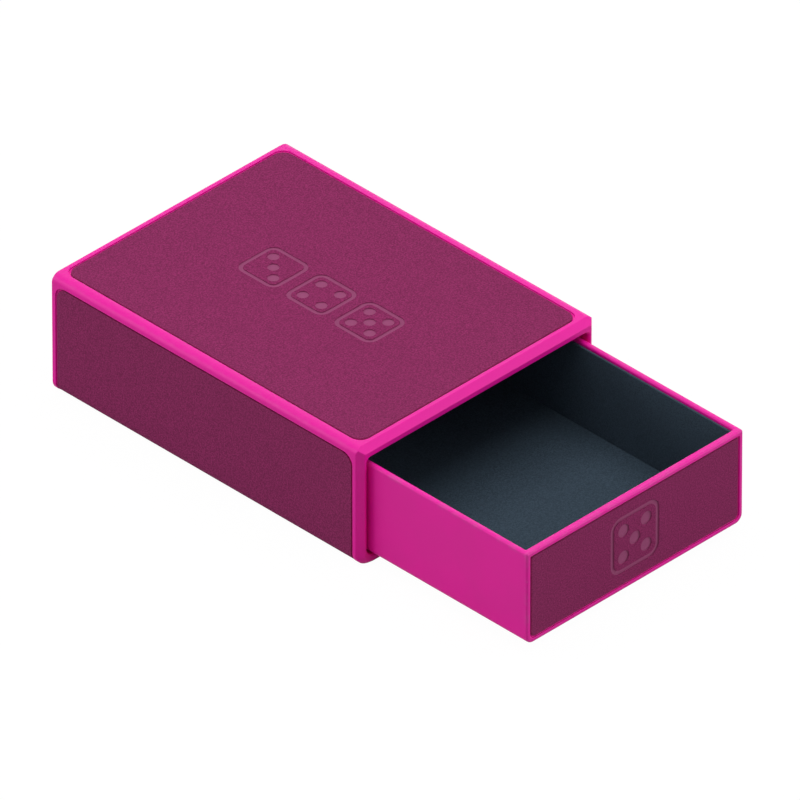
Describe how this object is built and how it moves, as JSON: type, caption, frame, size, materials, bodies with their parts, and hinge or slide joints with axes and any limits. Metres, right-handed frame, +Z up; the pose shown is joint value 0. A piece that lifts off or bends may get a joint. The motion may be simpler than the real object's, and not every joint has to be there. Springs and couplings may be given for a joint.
{
  "type": "dice storage chest",
  "caption": "Flat rectangular box: a moulded sleeve faced with microfibre panels, and a lined open-top drawer that slides out of its front.",
  "frame": {"origin": "centre of the sleeve's bottom face, on the plane that the chest rests on", "axes": "+Z up, -Y the way the drawer opens, +X to the right when the chest is seen from the front"},
  "size_m": [0.0832, 0.1655, 0.0357],
  "materials": {
    "moulded_plastic": "soft satin, fine spark-eroded texture",
    "microfibre": "short napped microfibre",
    "foam_sheet": "closed-cell foam sheet",
    "lining": "short napped microfibre",
    "magnet_plating": "nickel plating"
  },
  "bodies": {
    "sleeve": {"sleeve_shell": "moulded_plastic", "top_panel": "microfibre", "top_backing": "foam_sheet", "wrap_panel": "microfibre", "wrap_backing": "foam_sheet", "rear_panel": "microfibre", "rear_backing": "foam_sheet", "sleeve_magnets": "magnet_plating"},
    "drawer": {"drawer_tray": "moulded_plastic", "front_panel": "microfibre", "front_backing": "foam_sheet", "floor_lining": "lining", "left_lining": "lining", "right_lining": "lining", "front_lining": "lining", "rear_lining": "lining", "drawer_magnets": "magnet_plating"}
  },
  "joints": [
    {"name": "drawer_slide", "type": "slide", "parent": "sleeve", "child": "drawer", "axis": [0, -1, 0], "range_m": [-0.0548, 0.0546]}
  ]
}
